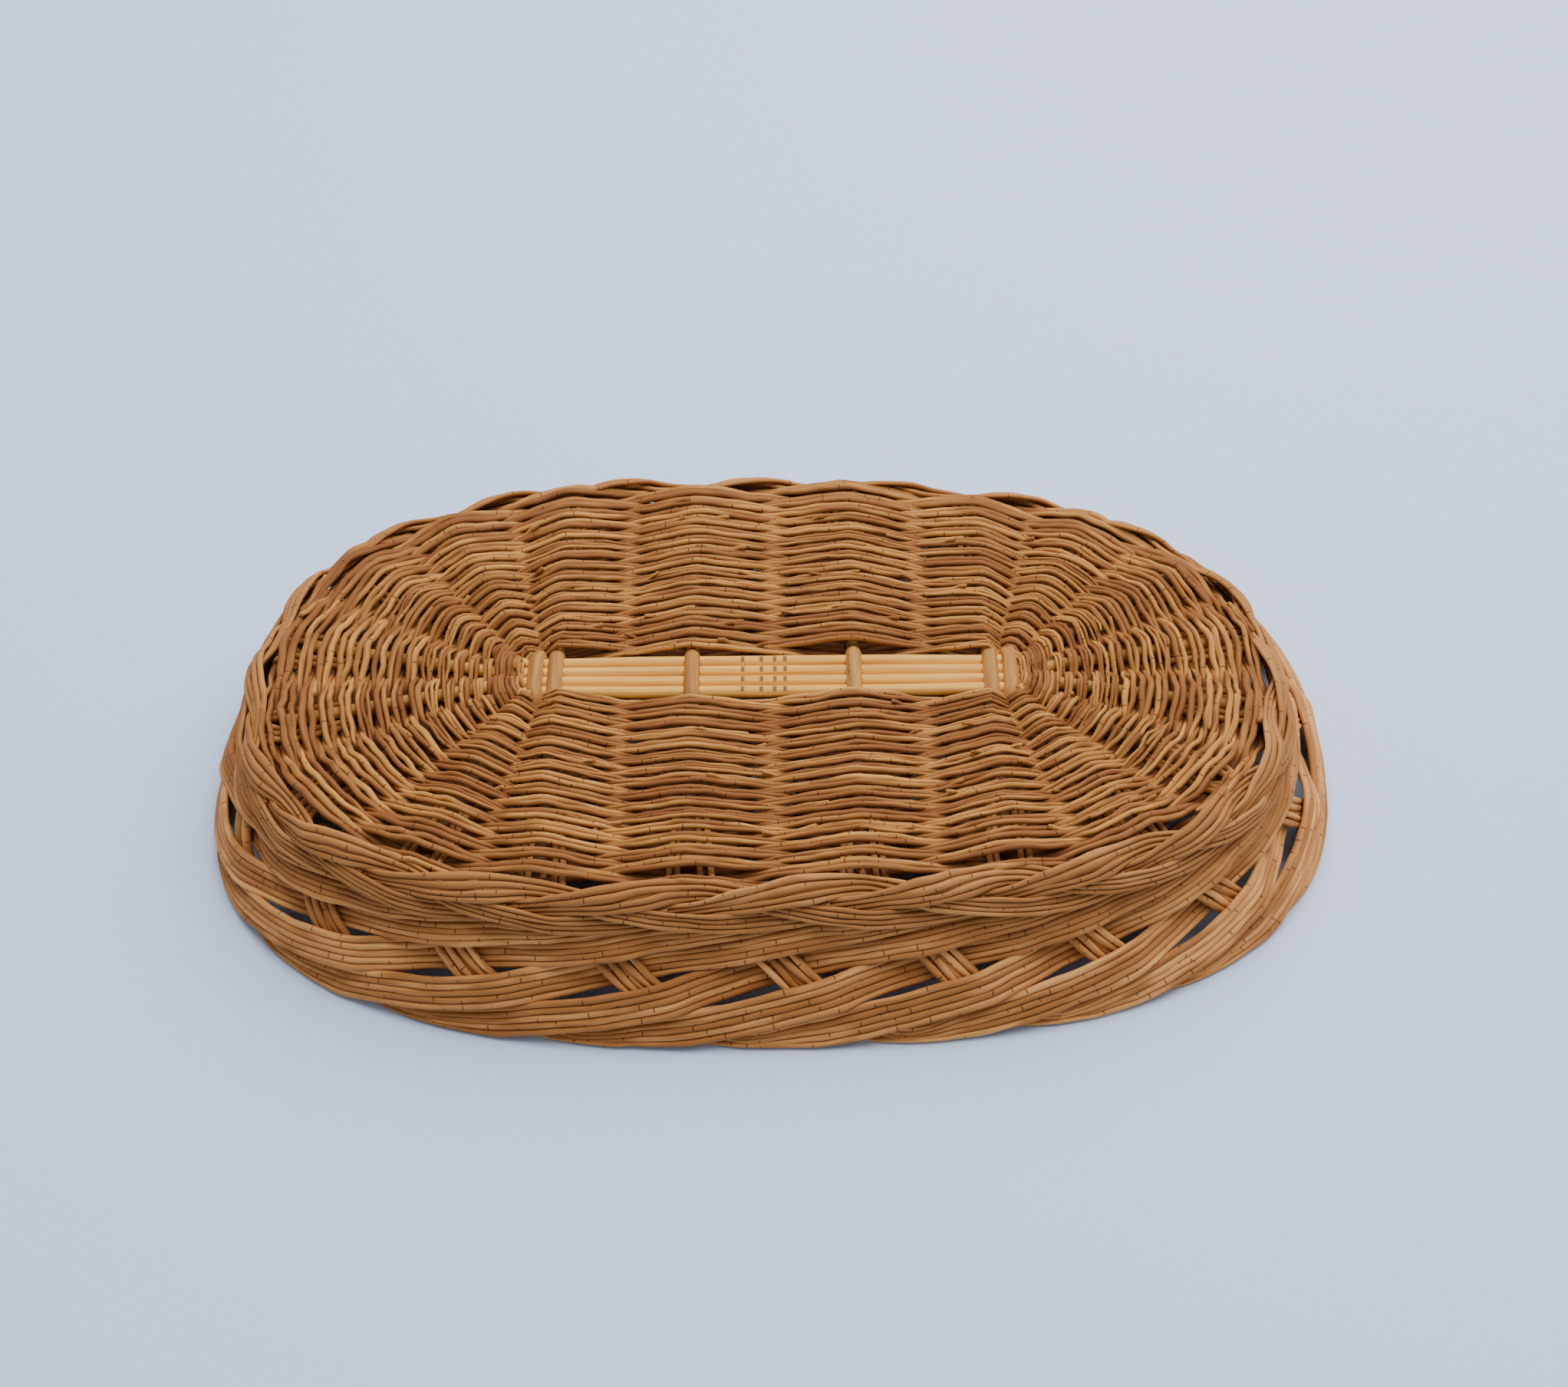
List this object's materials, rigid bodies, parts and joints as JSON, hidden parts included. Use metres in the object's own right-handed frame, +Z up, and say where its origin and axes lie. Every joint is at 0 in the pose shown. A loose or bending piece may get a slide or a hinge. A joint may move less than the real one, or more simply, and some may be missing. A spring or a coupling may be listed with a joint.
{
  "type": "oval wicker basket",
  "caption": "Low oval willow basket lying upside down, with a plain-woven base on sticks, open plaited sides of rod groups and a plaited foot ring.",
  "frame": {"origin": "under the middle of the outline, on the plane the rim rests on", "axes": "+X along the long side, +Y across, +Z up through the base; the basket lies upside down, so its mouth faces -Z and its foot ring is on top"},
  "size_m": [0.401, 0.2546, 0.0523],
  "materials": {
    "side_rods": "satin",
    "base_weavers": "satin",
    "cross_sticks": "satin",
    "long_sticks": "satin"
  },
  "bodies": {
    "root": {"side_group_01": "side_rods", "side_group_02": "side_rods", "side_group_03": "side_rods", "side_group_04": "side_rods", "side_group_05": "side_rods", "side_group_06": "side_rods", "side_group_07": "side_rods", "side_group_08": "side_rods", "side_group_09": "side_rods", "side_group_10": "side_rods", "side_group_11": "side_rods", "side_group_12": "side_rods", "side_group_13": "side_rods", "side_group_14": "side_rods", "side_group_15": "side_rods", "side_group_16": "side_rods", "side_group_17": "side_rods", "side_group_18": "side_rods", "side_group_19": "side_rods", "side_group_20": "side_rods", "cross_stick_1": "cross_sticks", "cross_stick_2": "cross_sticks", "cross_stick_3": "cross_sticks", "cross_stick_4": "cross_sticks", "cross_stick_5": "cross_sticks", "cross_stick_6": "cross_sticks", "long_stick_1": "long_sticks", "long_stick_2": "long_sticks", "long_stick_3": "long_sticks", "long_stick_4": "long_sticks", "base_weave_1": "base_weavers", "base_weave_2": "base_weavers", "base_weave_3": "base_weavers"}
  },
  "joints": []
}
